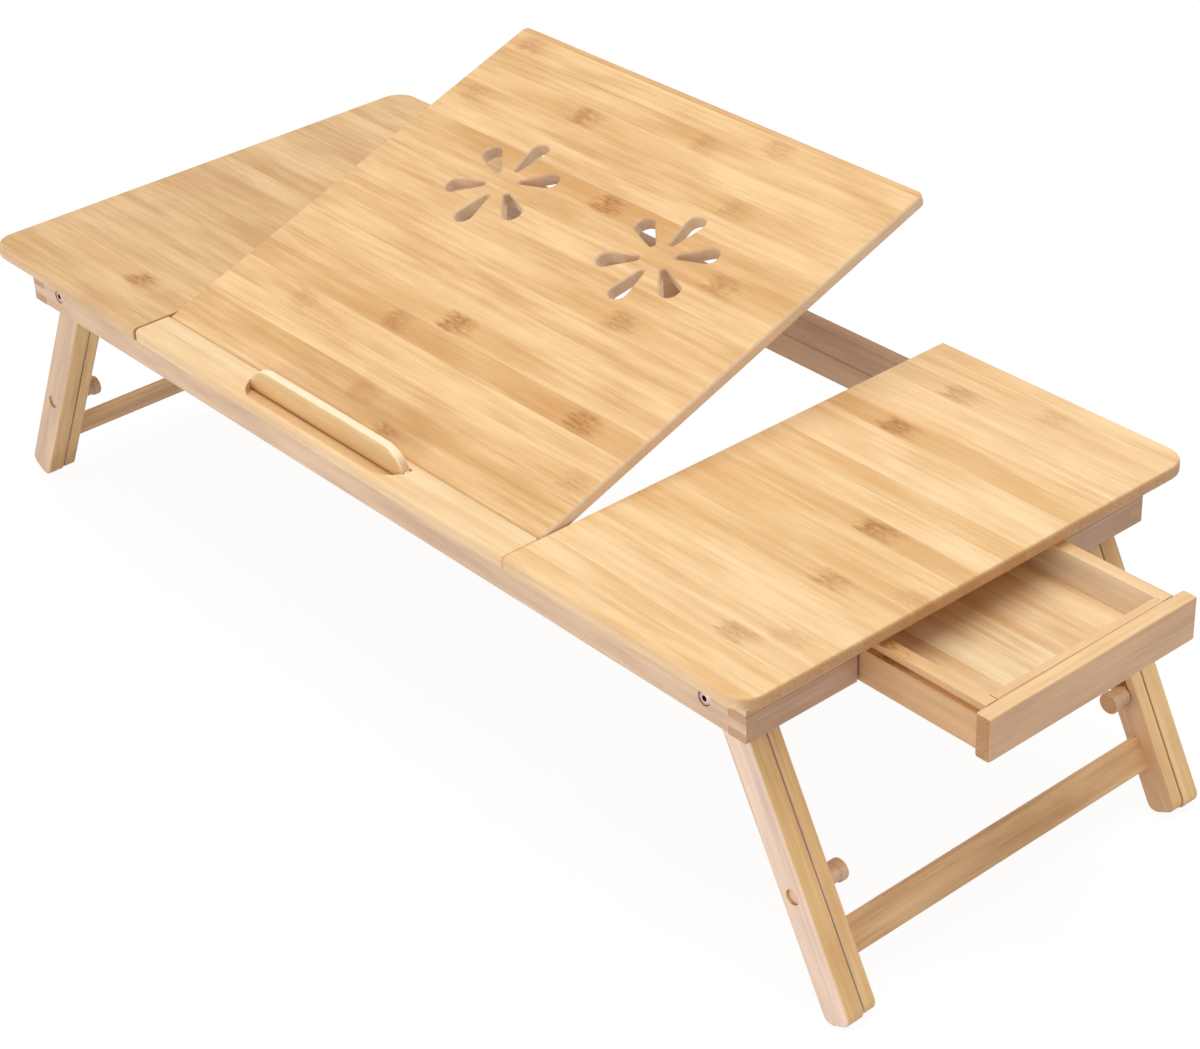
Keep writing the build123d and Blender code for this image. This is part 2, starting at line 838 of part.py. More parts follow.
def drawer_stop():
    """The strip under the right panel that catches the drawer's back when it is pulled right out."""
    back_inside_x = drawer_back_x + drawer_wall
    x0 = back_inside_x + drawer_travel_past_rest + drawer_stop_clearance
    return block(
        x0,
        x0 + drawer_stop_width,
        -drawer_stop_length / 2,
        drawer_stop_length / 2,
        drawer_top,
        rail_top,
    )


def raised(shape):
    """A piece of the tilting panel, drawn flat, turned up to its rest tilt."""
    return shape.rotate(tilt_pin_axis, tilt_rest)


def propped(shape):
    """A piece of the prop, drawn folded flat, swung down and raised with the panel."""
    return raised(shape.rotate(prop_hinge_axis, tilt_rest * prop_ratio))


nodes = {
    "left_panel": side_panel(-1),
    "right_panel": side_panel(1),
    "front_strip": front_strip(),
    "stopper": stopper(),
    "stopper_pin": stopper_pin(),
    "tilt_panel": raised(tilt_panel()),
    "tilt_pins": Compound(tilt_pins()),
    "tilt_washers": Compound(tilt_washers()),
    "prop_block_left": raised(prop_block(-1)),
    "prop_block_right": raised(prop_block(1)),
    "prop_rod": raised(prop_rod()),
    "prop_arm_left": propped(prop_arm(-1)),
    "prop_arm_right": propped(prop_arm(1)),
    "prop_foot_bar": propped(prop_foot_bar()),
    "prop_rack_left": prop_rack(-1),
    "prop_rack_right": prop_rack(1),
    "front_rail": long_rail(-1),
    "back_rail": long_rail(1),
    "left_rail": end_rail(-1, -frame_half_y, frame_half_y),
    "right_rail_front": end_rail(1, -frame_half_y, -drawer_opening / 2),
    "right_rail_back": end_rail(1, drawer_opening / 2, frame_half_y),
    "left_batten": cross_batten(left_batten_x),
    "right_batten": cross_batten(right_batten_x),
    "panel_screws": Compound(panel_screws()),
    "pivot_bolts": Compound(at_all_pivots(pivot_bolt())),
    "pivot_washers": Compound(at_all_pivots(pivot_washer())),
    "pivot_nuts": Compound(at_all_pivots(pivot_nut())),
    "drawer_guide_front": drawer_guide(-1),
    "drawer_guide_back": drawer_guide(1),
    "drawer_runner_front": drawer_runner(-1),
    "drawer_runner_back": drawer_runner(1),
    "drawer_stop": drawer_stop(),
    "drawer_front": drawer_front(),
    "drawer_lining": drawer_lining(),
    "drawer_side_front": drawer_side(-1),
    "drawer_side_back": drawer_side(1),
    "drawer_back": drawer_back(),
    "drawer_floor": drawer_floor(),
}
for side_name, side in (("left", -1), ("right", 1)):
    for end_name, end in (("front", -1), ("back", 1)):
        corner = f"{side_name}_{end_name}"
        nodes[f"{corner}_outer_leg"] = at_pivot(outer_leg(), side, end)
        nodes[f"{corner}_inner_leg"] = at_pivot(inner_leg(), side, end)
        nodes[f"{corner}_peg"] = at_pivot(peg(), side, end)
    nodes[f"{side_name}_stretcher"] = at_pivot(stretcher(), side, -1)
    nodes[f"{side_name}_guide_dowels"] = Compound(
        [at_pivot(guide_dowel(), side, end) for end in (-1, 1)]
    )

# The origin is on the floor, under the middle of the whole table as it stands with its drawer open.
whole = Compound(list(nodes.values())).bounding_box()
origin_x = (whole.min.X + whole.max.X) / 2
os.makedirs("parts", exist_ok=True)
for name, shape in nodes.items():
    export_step(Pos(-origin_x, 0, 0) * shape, f"parts/{name}.step")
print("origin is", round(origin_x, 3), "mm right of the middle of the top")
print("size", [round(length, 2) for length in whole.size])
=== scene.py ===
import math

import bpy
from mathutils import Matrix, Vector


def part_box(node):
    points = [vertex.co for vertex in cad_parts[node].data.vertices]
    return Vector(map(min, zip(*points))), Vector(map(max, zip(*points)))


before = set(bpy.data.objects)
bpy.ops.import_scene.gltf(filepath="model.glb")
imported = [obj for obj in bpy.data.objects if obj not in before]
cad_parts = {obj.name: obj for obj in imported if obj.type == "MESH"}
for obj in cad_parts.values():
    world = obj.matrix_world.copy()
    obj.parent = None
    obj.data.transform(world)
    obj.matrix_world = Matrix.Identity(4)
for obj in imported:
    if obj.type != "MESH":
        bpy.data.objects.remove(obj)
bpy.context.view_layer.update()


# Rails of the frame: sawn bamboo boards, two strips high, finger-jointed and glued at the corners.
# The long ones carry the legs' bolts; the right side is two short lengths beside the drawer.

def linear(red, green, blue):
    """The linear colour, with alpha 1, of an sRGB colour given as 0 to 255."""
    shares = [value / 255 for value in (red, green, blue)]
    return [s / 12.92 if s <= .04045 else ((s + .055) / 1.055) ** 2.4 for s in shares] + [1]


def new_material(name):
    """A material with nodes, its node tree and its shader."""
    material = bpy.data.materials.new(name)
    material.use_nodes = True
    tree = material.node_tree
    return material, tree, tree.nodes["Principled BSDF"]


def feed(tree, socket, value):
    """Links value to the socket if it is another node's output, or else sets it there."""
    if isinstance(value, bpy.types.NodeSocket):
        tree.links.new(value, socket)
    else:
        socket.default_value = value


def calc(tree, operation, *values, kind="ShaderNodeMath"):
    """The output of one Math node, or of one Vector Math node if kind says so."""
    node = tree.nodes.new(kind)
    node.operation = operation
    for socket, value in zip(node.inputs, values):
        feed(tree, socket, value)
    return node.outputs[0]


def fade(tree, value, start, end, first, last):
    """A smooth step from first, where value is at start, to last, where it is at end."""
    node = tree.nodes.new("ShaderNodeMapRange")
    node.interpolation_type = "SMOOTHSTEP"
    for socket, number in zip(node.inputs, (value, start, end, first, last)):
        feed(tree, socket, number)
    return node.outputs[0]


def mix_colours(tree, share, first, second):
    """The first colour where share is 0, the second where it is 1.

    Inputs 6 and 7 and output 2 are the Mix node's sockets for colours.
    """
    node = tree.nodes.new("ShaderNodeMix")
    node.data_type = "RGBA"
    feed(tree, node.inputs["Factor"], share)
    feed(tree, node.inputs[6], first)
    feed(tree, node.inputs[7], second)
    return node.outputs[2]


def own_directions(tree, output, turn=(0, 0, 0), centre=(0, 0, 0)):
    """A place or a normal of the piece, from centre, along its own grain after undoing turn."""
    coordinates = tree.nodes.new("ShaderNodeTexCoord")
    mapping = tree.nodes.new("ShaderNodeMapping")
    mapping.vector_type = "TEXTURE"
    mapping.inputs["Location"].default_value = centre
    mapping.inputs["Rotation"].default_value = turn
    tree.links.new(coordinates.outputs[output], mapping.inputs["Vector"])
    return mapping.outputs[0]


def apart(tree, vector):
    """The three numbers of a vector or a colour."""
    node = tree.nodes.new("ShaderNodeSeparateXYZ")
    tree.links.new(vector, node.inputs[0])
    return node.outputs[0], node.outputs[1], node.outputs[2]


def stretched_noise(tree, place, scales, shift=0, detail=2):
    """Noise at place times scales, in waves per metre, moved along the grain by shift."""
    scaled = calc(tree, "MULTIPLY", place, scales, kind="ShaderNodeVectorMath")
    way = tree.nodes.new("ShaderNodeCombineXYZ")
    feed(tree, way.inputs[0], shift)
    moved = calc(tree, "ADD", scaled, way.outputs[0], kind="ShaderNodeVectorMath")
    noise = tree.nodes.new("ShaderNodeTexNoise")
    noise.inputs["Scale"].default_value = 1
    noise.inputs["Detail"].default_value = detail
    tree.links.new(moved, noise.inputs["Vector"])
    return noise.outputs[0]


def chance(tree, seed):
    """A random number and a random colour for each whole seed."""
    node = tree.nodes.new("ShaderNodeTexWhiteNoise")
    node.noise_dimensions = "1D"
    feed(tree, node.inputs["W"], seed)
    return node.outputs["Value"], node.outputs["Color"]


def strip_number(tree, across, depth, strip_width):
    """A whole number for the strip at this place across the grain, depth layers up."""
    rows_per_layer = 37
    row = calc(tree, "FLOOR", calc(tree, "DIVIDE", across, strip_width))
    return calc(tree, "MULTIPLY_ADD", calc(tree, "FLOOR", depth), rows_per_layer, row)


def wood_shade(tree, place, shift, tone, thread):
    """From 0 for dark to 1 for pale wood: the strip's tone, with clouds, bands and threads on it."""
    lowest_tone = .33
    tone_spread = .34
    cloud = stretched_noise(tree, place, (14, 75, 75), shift, detail=3)
    band = stretched_noise(tree, place, (8, 280, 280), shift)
    shade = calc(tree, "MULTIPLY_ADD", tone, tone_spread, lowest_tone)
    for fibre, contrast in ((cloud, 1.2), (band, .65), (thread, .6)):
        shade = calc(tree, "ADD", shade, calc(tree, "MULTIPLY_ADD", fibre, contrast, -contrast / 2))
    return fade(tree, shade, 0, 1, 0, 1)


def knuckle(tree, ahead, strength):
    """A knuckle's fibres, which fall off sooner behind than ahead of it, and the stain along its strip.

    Ahead is the way past the knuckle along the grain.
    """
    half_core = .002
    reach_behind = .011
    reach_ahead = .022
    stain_reach = .15
    rise = fade(tree, ahead, -reach_behind, -half_core, 0, 1)
    fall = fade(tree, ahead, half_core, reach_ahead, 1, 0)
    fibres = calc(tree, "MULTIPLY", calc(tree, "MULTIPLY", rise, fall), strength)
    stain = fade(tree, calc(tree, "ABSOLUTE", ahead), 0, stain_reach, 1, 0)
    return fibres, calc(tree, "MULTIPLY", stain, strength)


def all_knuckles(tree, place, strip_width, number, shift, phase, greatest, knots):
    """The fibres and stains of one random knuckle in each culm length of a strip, and of the knots.

    A random knuckle's strength is up to greatest. A wobble along the grain makes all edges ragged.
    """
    culm = .29
    seeds_per_culm = 91
    wobble_reach = .012
    knot_core = .3 * strip_width
    knot_edge = .56 * strip_width
    along, across, _ = apart(tree, place)
    wobble = stretched_noise(tree, place, (70, 330, 330), shift)
    ragged = calc(tree, "ADD", along, calc(tree, "MULTIPLY_ADD", wobble, 2 * wobble_reach, -wobble_reach))
    culms = calc(tree, "ADD", calc(tree, "DIVIDE", ragged, culm), phase)
    cell = calc(tree, "FLOOR", culms)
    from_middle = calc(tree, "SUBTRACT", calc(tree, "SUBTRACT", culms, cell), .5)
    luck, _ = chance(tree, calc(tree, "MULTIPLY_ADD", cell, seeds_per_culm, number))
    strength = calc(tree, "MULTIPLY", calc(tree, "POWER", luck, 2), greatest)
    fibres, stain = knuckle(tree, calc(tree, "MULTIPLY", from_middle, culm), strength)
    for x, y, knot_strength in knots:
        middle = (math.floor(y / strip_width) + .5) * strip_width
        beside = calc(tree, "ABSOLUTE", calc(tree, "SUBTRACT", across, middle))
        inside = fade(tree, beside, knot_core, knot_edge, knot_strength, 0)
        knot_fibres, knot_stain = knuckle(tree, calc(tree, "SUBTRACT", ragged, x), inside)
        fibres = calc(tree, "MAXIMUM", fibres, knot_fibres)
        stain = calc(tree, "MAXIMUM", stain, knot_stain)
    return fibres, stain


def bamboo(name, pale, dark, strip, turn=(0, 0, 0), centre=(0, 0, 0), knots=(), knuckles=.5, side_light_share=.6,
           glue=0, side_colour_and_light=(242, 210, 182), end_grain=(188, 136, 90)):
    """Laminated bamboo, x along the grain after turn, y and z across it.

    Strip is a strip's widths along y and z. Each strip has its own tone and its own fibres along x.
    A knuckle is a patch of short brown fibres across one strip. Knuckles is the greatest strength of the
    random ones, and knots are more of them, each at an (x, y) with a strength.
    Sides across y take the colour side_colour_and_light by the share side_light_share: partly the wood's
    own colour and partly painted light and shade, set piece by piece. Glue darkens the joint between
    layers of strips, and ends cut across the grain have the colour end_grain.
    """
    fibre_shift = 60
    material, tree, shader = new_material(name)
    place = own_directions(tree, "Object", turn, centre)
    _, across, deep = apart(tree, place)
    depth = calc(tree, "DIVIDE", deep, strip[1])
    number = strip_number(tree, across, depth, strip[0])
    tone, random_colour = chance(tree, number)
    random_shift, phase, _ = apart(tree, random_colour)
    shift = calc(tree, "MULTIPLY", random_shift, fibre_shift)
    thread = stretched_noise(tree, place, (20, 1100, 1100), shift, detail=3)
    dash = stretched_noise(tree, place, (170, 900, 900), shift, detail=4)

    stain_share = .5
    stain_brown = (208, 152, 86)
    faintest_dash = .35
    fibre_brown = (164, 102, 44)
    shade = wood_shade(tree, place, shift, tone, thread)
    wood = mix_colours(tree, shade, linear(*dark), linear(*pale))
    fibres, stain = all_knuckles(tree, place, strip[0], number, shift, phase, knuckles, knots)
    wood = mix_colours(tree, calc(tree, "MULTIPLY", stain, stain_share), wood, linear(*stain_brown))
    dashed_fibres = calc(tree, "MULTIPLY", fibres, fade(tree, dash, .34, .68, faintest_dash, 1))
    wood = mix_colours(tree, dashed_fibres, wood, linear(*fibre_brown))

    # Sides across y: a colour mixed in by share, partly the wood's own and partly painted light and shade.
    side_light_from = .4
    side_light_full = .85
    side_grain_dimming = .86
    end, side, _ = apart(tree, own_directions(tree, "Normal", turn))
    side_light_mask = fade(tree, calc(tree, "ABSOLUTE", side), side_light_from, side_light_full, 0, side_light_share)
    side_grain_dark = [value * side_grain_dimming for value in side_colour_and_light]
    side_wood_and_light = mix_colours(tree, shade, linear(*side_grain_dark), linear(*side_colour_and_light))
    wood = mix_colours(tree, side_light_mask, wood, side_wood_and_light)

    joint_core = .01
    joint_edge = .06
    glue_brown = (140, 92, 62)
    from_joint = calc(tree, "ABSOLUTE", calc(tree, "SUBTRACT", depth, calc(tree, "ROUND", depth)))
    glued = fade(tree, from_joint, joint_core, joint_edge, glue, 0)
    wood = mix_colours(tree, glued, wood, linear(*glue_brown))

    cut_from = .45
    cut_full = .9
    cut_share = .85
    faintest_speck = .7
    cut = fade(tree, calc(tree, "ABSOLUTE", end), cut_from, cut_full, 0, cut_share)
    specked_cut = calc(tree, "MULTIPLY", cut, fade(tree, dash, .3, .7, faintest_speck, 1))
    wood = mix_colours(tree, specked_cut, wood, linear(*end_grain))

    greatest_roughness = .54
    thread_gloss = .2
    roughness = calc(tree, "MULTIPLY_ADD", thread, -thread_gloss, greatest_roughness)
    bump = tree.nodes.new("ShaderNodeBump")
    bump.inputs["Strength"].default_value = .12
    bump.inputs["Distance"].default_value = .0004
    tree.links.new(thread, bump.inputs["Height"])
    tree.links.new(wood, shader.inputs["Base Color"])
    tree.links.new(roughness, shader.inputs["Roughness"])
    tree.links.new(bump.outputs[0], shader.inputs["Normal"])
    shader.inputs["Specular IOR Level"].default_value = .35
    return material


def finish_nodes(material, *names):
    """Gives the named CAD pieces this material alone."""
    for name in names:
        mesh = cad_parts[name].data
        mesh.materials.clear()
        mesh.materials.append(material)


across_table = (0, 0, math.radians(90))
rail_low, rail_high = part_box("front_rail")
rail_strip = (.03, (rail_high.z - rail_low.z) / 2)
long_rail_pale = (236, 200, 160)
long_rail_dark = (196, 150, 110)
# Painted shade: the end rails are darker than the long rails, as in the shade under the panels' overhang.
end_rail_pale_shaded = (222, 182, 152)
end_rail_dark_shaded = (186, 136, 104)
rail_glue = .45
rail_fingers = (200, 158, 124)
long_rail_bamboo = bamboo("long_rail_bamboo", long_rail_pale, long_rail_dark, rail_strip, centre=rail_low,
                          glue=rail_glue, end_grain=rail_fingers)
finish_nodes(long_rail_bamboo, "front_rail", "back_rail")
end_rail_bamboo = bamboo("end_rail_bamboo", end_rail_pale_shaded, end_rail_dark_shaded, rail_strip, across_table,
                         rail_low, side_light_share=.3, glue=rail_glue, end_grain=rail_fingers)
finish_nodes(end_rail_bamboo, "left_rail", "right_rail_front", "right_rail_back")


# Parts under the top: battens that the fixed panels are screwed to, the notched racks of the prop,
# and the drawer's guides, runners and stop. Plain bamboo, planed and glued to the rails.

under_pale = (236, 200, 154)
under_dark = (206, 162, 112)
under_strip = (.011, .02)
batten_bamboo = bamboo("batten_bamboo", under_pale, under_dark, under_strip, across_table)
finish_nodes(batten_bamboo, "left_batten", "right_batten", "drawer_stop")
finish_nodes(batten_bamboo, "prop_rack_left", "prop_rack_right")
guide_bamboo = bamboo("guide_bamboo", under_pale, under_dark, under_strip)
for side in ("front", "back"):
    finish_nodes(guide_bamboo, f"drawer_guide_{side}", f"drawer_runner_{side}")


# Fixed panels at both ends of the top: one layer of strips glued edge to edge, run lengthwise,
# with rounded outer corners and eased rims, screwed down from the battens.

left_low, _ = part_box("left_panel")
right_low, right_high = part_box("right_panel")
table_middle = (left_low.x + right_high.x) / 2
layer_margin = .001
top_centre = (table_middle, 0, right_low.z - layer_margin)
panel_strip = (.0172, .03)
right_pale = (255, 222, 172)
right_dark = (228, 180, 118)
right_knots = [(.220, .121, .55), (.220, .081, .9), (.276, .147, .3), (.290, -.004, .9),
               (.307, -.068, .6), (.308, -.130, .55), (.330, -.111, .3), (.350, -.038, .3)]
right_panel_bamboo = bamboo("right_panel_bamboo", right_pale, right_dark, panel_strip, centre=top_centre,
                            knots=right_knots, knuckles=.15, side_light_share=.35)
finish_nodes(right_panel_bamboo, "right_panel")
# The left panel is darker than the right one: partly the wood's own tone, partly painted shade.
left_pale = (240, 202, 148)
left_dark = (204, 158, 102)
left_knots = [(-.243, -.131, .9)]
left_panel_bamboo = bamboo("left_panel_bamboo", left_pale, left_dark, panel_strip, centre=top_centre,
                           knots=left_knots, knuckles=.15, side_light_share=.35)
finish_nodes(left_panel_bamboo, "left_panel")


# Front strip and the stopper that folds up out of it: a narrow bamboo board with a pocket cut in it,
# and a thin rounded bar on a steel pin that keeps a book or a laptop from sliding off.

front_pale = (252, 225, 178)
front_dark = (236, 194, 140)
# Painted light: the strip's cut ends, the pocket's end walls among them, are paler than other end grain.
pocket_ends_painted_light = (222, 176, 124)
strip_bamboo = bamboo("strip_bamboo", front_pale, front_dark, panel_strip, centre=top_centre,
                      knuckles=.15, side_light_share=.2, end_grain=pocket_ends_painted_light)
finish_nodes(strip_bamboo, "front_strip")
stopper_pale = (255, 242, 210)
stopper_dark = (252, 228, 184)
# Painted shade: the bar's faces across y are golden, darker than its cream top.
stopper_faces_painted_shade = (244, 204, 146)
stopper_strip = (.03, .03)
stopper_bamboo = bamboo("stopper_bamboo", stopper_pale, stopper_dark, stopper_strip, knuckles=0,
                        side_light_share=.85, side_colour_and_light=stopper_faces_painted_shade)
finish_nodes(stopper_bamboo, "stopper")


# Tilting panel: strips glued edge to edge like the fixed panels, with two six-petal vents routed through.
# It turns on steel pins at its front corners and leans on the prop. Its layer starts half a layer below
# the pins, so that the whole panel lies within it.

tilt_turn = (math.radians(19.7), 0, 0)
pin_low, pin_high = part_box("tilt_pins")
pin_level = (pin_low.z + pin_high.z) / 2
tilt_centre = (table_middle, (pin_low.y + pin_high.y) / 2, pin_level - panel_strip[1] / 2)
tilt_knots = [(-.080, .2625, .8), (.014, .287, .4), (.062, .301, .35), (-.168, .293, .4),
              (-.168, .253, .35), (-.001, .222, .9), (.075, .249, .35), (.116, .201, .6),
              (-.046, .073, .6), (-.010, .095, .95), (.083, .139, .6), (-.118, .056, .35),
              (-.017, .030, .35), (.024, .010, .6), (.124, .072, .85), (.156, .051, .35)]
tilt_pale = (244, 206, 154)
tilt_dark = (208, 158, 100)
tilt_ends = (228, 203, 176)
tilt_bamboo = bamboo("tilt_bamboo", tilt_pale, tilt_dark, panel_strip, tilt_turn, tilt_centre, tilt_knots,
                     knuckles=.1, end_grain=tilt_ends)
finish_nodes(tilt_bamboo, "tilt_panel")


# Prop under the tilting panel: two bamboo arms between hinge blocks and a round foot bar,
# which drops into the notches of the racks to hold the panel at one of four slopes.

prop_bamboo = bamboo("prop_bamboo", under_pale, under_dark, under_strip, across_table)
finish_nodes(prop_bamboo, "prop_block_left", "prop_block_right", "prop_arm_left", "prop_arm_right")
bar_strip = (.03, .03)
turned_bamboo = bamboo("turned_bamboo", under_pale, under_dark, bar_strip)
finish_nodes(turned_bamboo, "prop_foot_bar")


# Legs: outer boards on pivot bolts behind the rails, inner boards that slide along them for height,
# a stretcher tenoned between each pair of inner boards. Straight bamboo strips with rounded feet.

splay = math.radians(27)
upright = math.radians(90)
ends = {"left": upright + splay, "right": upright - splay}
leg_pale = (255, 218, 160)
leg_dark = (226, 176, 114)
leg_strip = (.03, .0095)
# Painted light and shade in each leg's side colour: darkest on the back legs, in the shade under the
# table.
leg_side_light_and_shade = {"left_front": (240, 204, 172), "right_front": (252, 222, 200),
             "left_back": (228, 184, 142), "right_back": (228, 184, 142)}
for end, slope in ends.items():
    leg_turn = (0, slope, 0)
    for corner in ("front", "back"):
        leg = f"{end}_{corner}"
        leg_bamboo = bamboo(leg + "_leg_bamboo", leg_pale, leg_dark, leg_strip, leg_turn, side_light_share=.95,
                            side_colour_and_light=leg_side_light_and_shade[leg])
        finish_nodes(leg_bamboo, leg + "_outer_leg", leg + "_inner_leg")
stretcher_pale = (248, 206, 156)
stretcher_dark = (208, 158, 106)
stretcher_strip = (.0115, .03)
stretcher_bamboo = bamboo("stretcher_bamboo", stretcher_pale, stretcher_dark, stretcher_strip,
                          across_table, side_light_share=0)
finish_nodes(stretcher_bamboo, "left_stretcher", "right_stretcher")


# Pegs and dowels turned from bamboo rod, with the grain along them: the pegs lock the legs at their
# height, and the dowels guide the boards. The ends of the front pegs are paler than other end grain.

rod_pale = (224, 184, 138)
rod_dark = (188, 140, 94)
rod_strip = (.03, .03)
pale_peg_ends = (240, 208, 186)
rod_bamboo = bamboo("rod_bamboo", rod_pale, rod_dark, rod_strip, across_table, knuckles=0)
pale_end_rod_bamboo = bamboo("pale_end_rod_bamboo", rod_pale, rod_dark, rod_strip, across_table, knuckles=0,
                           end_grain=pale_peg_ends)
for end in ends:
    finish_nodes(rod_bamboo, f"{end}_back_peg", f"{end}_guide_dowels")
    finish_nodes(pale_end_rod_bamboo, f"{end}_front_peg")


# Steel: pivot bolts with their washers and nuts, hinge pins, the prop's rod and the panels' screws.
# Turned and plated, dull with fine scratches.
# The sockets in the bolts' heads are painted black inside, as painted shade.

def steel(name, grey, roughness, sockets=None):
    """Plated steel: a cloudy tone from wide noise, and fine scratches from narrow noise in the roughness.

    Sockets gives the half distance, level and radius of bolt sockets, painted black inside as painted
    shade.
    """
    wear = 40
    scratch_depth = .3
    socket_rim = .0002
    socket_painted_shade = (30, 24, 22)
    material, tree, shader = new_material(name)
    place = own_directions(tree, "Object")
    cloud = stretched_noise(tree, place, (180, 180, 180))
    scratch = stretched_noise(tree, place, (3000, 300, 3000))
    worn = [value - wear for value in grey]
    tone = mix_colours(tree, fade(tree, cloud, .3, .7, 0, 1), linear(*worn), linear(*grey))
    # Painted shade: the sockets are black inside.
    if sockets:
        half_distance, level, radius = sockets
        along, _, height = apart(tree, own_directions(tree, "Object", centre=(table_middle, 0, level)))
        beside = calc(tree, "SUBTRACT", calc(tree, "ABSOLUTE", along), half_distance)
        square = calc(tree, "ADD", calc(tree, "POWER", beside, 2), calc(tree, "POWER", height, 2))
        socket_shade_mask = fade(tree, calc(tree, "SQRT", square), radius - socket_rim, radius, 1, 0)
        tone = mix_colours(tree, socket_shade_mask, tone, linear(*socket_painted_shade))
    scratched = calc(tree, "MULTIPLY_ADD", scratch, scratch_depth, roughness - scratch_depth / 2)
    tree.links.new(tone, shader.inputs["Base Color"])
    tree.links.new(scratched, shader.inputs["Roughness"])
    shader.inputs["Metallic"].default_value = 1
    return material


bolt_low, bolt_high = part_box("pivot_bolts")
head_radius = (bolt_high.z - bolt_low.z) / 2
socket_radius = .0018
head_sockets = ((bolt_high.x - bolt_low.x) / 2 - head_radius, bolt_low.z + head_radius, socket_radius)
bolt_steel = steel("bolt_steel", grey=(236, 206, 194), roughness=.45, sockets=head_sockets)
finish_nodes(bolt_steel, "pivot_bolts")
pin_steel = steel("pin_steel", grey=(200, 198, 194), roughness=.3)
finish_nodes(pin_steel, "pivot_nuts", "pivot_washers", "panel_screws")
finish_nodes(pin_steel, "tilt_pins", "stopper_pin", "prop_rod")


# Spacer washers of the tilting panel, one on each pin in the gap beside it.
# Stamped from brown nylon sheet, slightly cloudy.

nylon_pale = (172, 130, 90)
nylon_dark = (150, 110, 72)
nylon, nylon_tree, nylon_shader = new_material("washer_nylon")
nylon_cloud = stretched_noise(nylon_tree, own_directions(nylon_tree, "Object"), (400, 400, 400))
nylon_tone = mix_colours(nylon_tree, nylon_cloud, linear(*nylon_dark), linear(*nylon_pale))
nylon_tree.links.new(nylon_tone, nylon_shader.inputs["Base Color"])
nylon_shader.inputs["Roughness"].default_value = .45
finish_nodes(nylon, "tilt_washers")


# Drawer: grooved sides, a front with rounded ends and its lining, a back and a thin bottom, all bamboo,
# glued at the corners. The grooves run on the runners of the guides.

drawer_pale = (252, 216, 166)
drawer_dark = (226, 182, 130)
drawer_low, drawer_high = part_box("drawer_side_front")
drawer_strip = (.03, (drawer_high.z - drawer_low.z) / 2)
side_place = drawer_low - Vector((0, drawer_strip[0] / 3, 0))
near_side_knots = [(.081, 0, .9)]
# Painted shade: the near side's faces are darker brown, as in the shade under the top.
near_side_painted_shade = (222, 178, 132)
near_side_bamboo = bamboo("drawer_near_side_bamboo", drawer_pale, drawer_dark, drawer_strip,
                          centre=side_place, knots=near_side_knots, side_light_share=.9, side_colour_and_light=near_side_painted_shade)
finish_nodes(near_side_bamboo, "drawer_side_front")
# Painted light: the far side's faces are pale, lighting the inside of the drawer, which lies in shade.
far_side_painted_light = (255, 232, 200)
far_side_bamboo = bamboo("drawer_far_side_bamboo", drawer_pale, drawer_dark, drawer_strip,
                         centre=side_place, side_light_share=.95, side_colour_and_light=far_side_painted_light)
finish_nodes(far_side_bamboo, "drawer_side_back")
front_tan = (236, 188, 148)
front_ends = (160, 106, 64)
end_bamboo = bamboo("drawer_end_bamboo", drawer_pale, drawer_dark, drawer_strip, across_table, drawer_low,
                    side_light_share=.85, side_colour_and_light=front_tan, end_grain=front_ends)
finish_nodes(end_bamboo, "drawer_front", "drawer_lining", "drawer_back")
bottom_pale = (255, 230, 184)
bottom_dark = (226, 180, 126)
bottom_strip = (.02, .03)
bottom_bamboo = bamboo("drawer_floor_bamboo", bottom_pale, bottom_dark, bottom_strip, centre=drawer_low,
                       knuckles=.25)
finish_nodes(bottom_bamboo, "drawer_floor")


# Floor and world: a wide white sweep under the table, plain white all round.
# To the camera and in reflections both are white; the floor keeps a light shadow of the table.

def seen_directly(tree):
    """1 for a ray from the camera, a reflection or a transmission, 0 for one that carries light."""
    path = tree.nodes.new("ShaderNodeLightPath")
    mirrored = calc(tree, "MAXIMUM", path.outputs["Is Glossy Ray"], path.outputs["Is Transmission Ray"])
    return calc(tree, "MAXIMUM", path.outputs["Is Camera Ray"], mirrored)


def matt_surface(tree, grey):
    """A diffuse shader of this linear grey."""
    node = tree.nodes.new("ShaderNodeBsdfDiffuse")
    node.inputs["Color"].default_value = (grey, grey, grey, 1)
    return node.outputs[0]


floor_reach = 6
floor_grey = .8
shadow_grey = .12
floor_glow = .92
floor_mesh = bpy.data.meshes.new("floor")
corners = [(-floor_reach, -floor_reach, 0), (floor_reach, -floor_reach, 0),
           (floor_reach, floor_reach, 0), (-floor_reach, floor_reach, 0)]
floor_mesh.from_pydata(corners, [], [(0, 1, 2, 3)])
floor = bpy.data.objects.new("floor", floor_mesh)
bpy.context.scene.collection.objects.link(floor)
white_sweep = bpy.data.materials.new("white_sweep")
white_sweep.use_nodes = True
sweep_tree = white_sweep.node_tree
sweep_tree.nodes.clear()
glow = sweep_tree.nodes.new("ShaderNodeEmission")
glow.inputs["Strength"].default_value = floor_glow
seen = sweep_tree.nodes.new("ShaderNodeAddShader")
sweep_tree.links.new(matt_surface(sweep_tree, shadow_grey), seen.inputs[0])
sweep_tree.links.new(glow.outputs[0], seen.inputs[1])
either = sweep_tree.nodes.new("ShaderNodeMixShader")
sweep_tree.links.new(seen_directly(sweep_tree), either.inputs[0])
sweep_tree.links.new(matt_surface(sweep_tree, floor_grey), either.inputs[1])
sweep_tree.links.new(seen.outputs[0], either.inputs[2])
sweep_output = sweep_tree.nodes.new("ShaderNodeOutputMaterial")
sweep_tree.links.new(either.outputs[0], sweep_output.inputs["Surface"])
floor_mesh.materials.append(white_sweep)

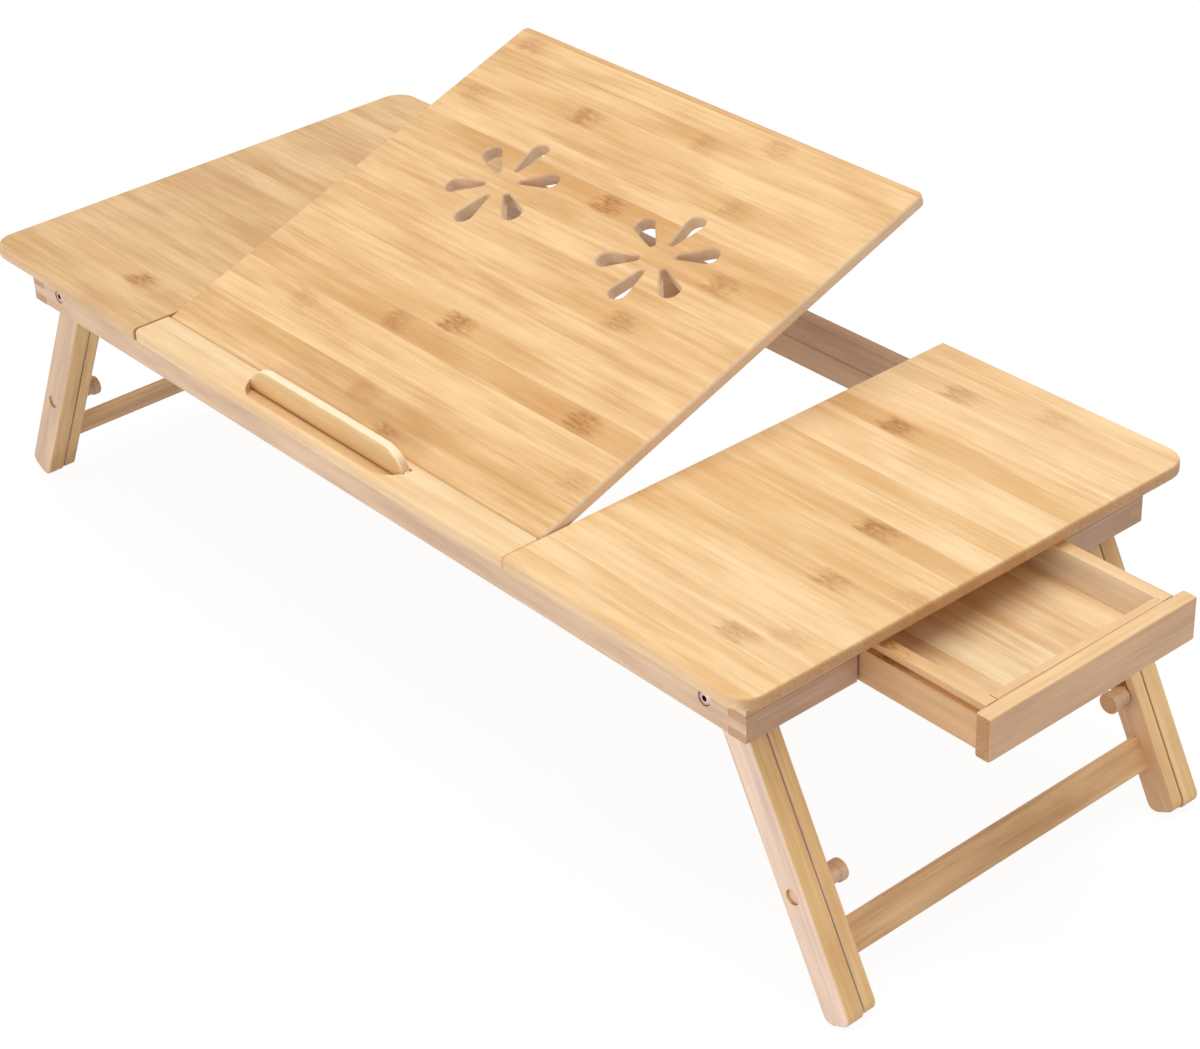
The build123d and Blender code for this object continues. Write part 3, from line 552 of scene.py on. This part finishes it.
room_light = .5
room = bpy.data.worlds.new("white_room")
bpy.context.scene.world = room
room.use_nodes = True
room_tree = room.node_tree
background = room_tree.nodes["Background"]
background.inputs["Color"].default_value = (1, 1, 1, 1)
room_strength = calc(room_tree, "MULTIPLY_ADD", seen_directly(room_tree), 1 - room_light, room_light)
room_tree.links.new(room_strength, background.inputs["Strength"])


# Lights: one wide soft box above the table, and a smaller one low in front of it.
# Both are square area lights turned to the middle of the table, for soft shadows.

def soft_box(name, place, aim, size, power):
    """A square area light at place, turned to aim."""
    lamp = bpy.data.lights.new(name, "AREA")
    lamp.size = size
    lamp.energy = power
    box = bpy.data.objects.new(name, lamp)
    box.location = place
    box.rotation_euler = (Vector(aim) - Vector(place)).to_track_quat("-Z", "Y").to_euler()
    bpy.context.scene.collection.objects.link(box)


table_heart = (0, 0, .15)
soft_box("overhead_light", (.3, -.05, 2.3), table_heart, size=2, power=29)
soft_box("front_light", (.1, -2.6, .3), table_heart, size=1.6, power=30)


# Camera at the photograph's place: in front of the table and to its right, looking down on it.
# It has a long lens, and is rolled slightly as the photograph is.

aim_right = .18438
aim_front = .11102
distance = 1.54336
azimuth = math.radians(50.71)
elevation = math.radians(32.07)
roll = math.radians(-2.68)
focal_length = 85.84
sensor_width = 36
aim = Vector((table_middle + aim_right, -aim_front, right_high.z))
flat = math.cos(elevation)
backward = Vector((math.sin(azimuth) * flat, -math.cos(azimuth) * flat, math.sin(elevation)))
level_right = Vector((math.cos(azimuth), math.sin(azimuth), 0))
level_up = backward.cross(level_right)
right = math.cos(roll) * level_right + math.sin(roll) * level_up
up = math.cos(roll) * level_up - math.sin(roll) * level_right
lens = bpy.data.cameras.new("camera")
lens.lens = focal_length
lens.sensor_width = sensor_width
lens.sensor_fit = "HORIZONTAL"
camera = bpy.data.objects.new("camera", lens)
turned = Matrix((right, up, backward)).transposed().to_4x4()
camera.matrix_world = Matrix.Translation(aim + distance * backward) @ turned
bpy.context.scene.collection.objects.link(camera)
bpy.context.scene.camera = camera
bpy.context.scene.view_settings.view_transform = "Standard"
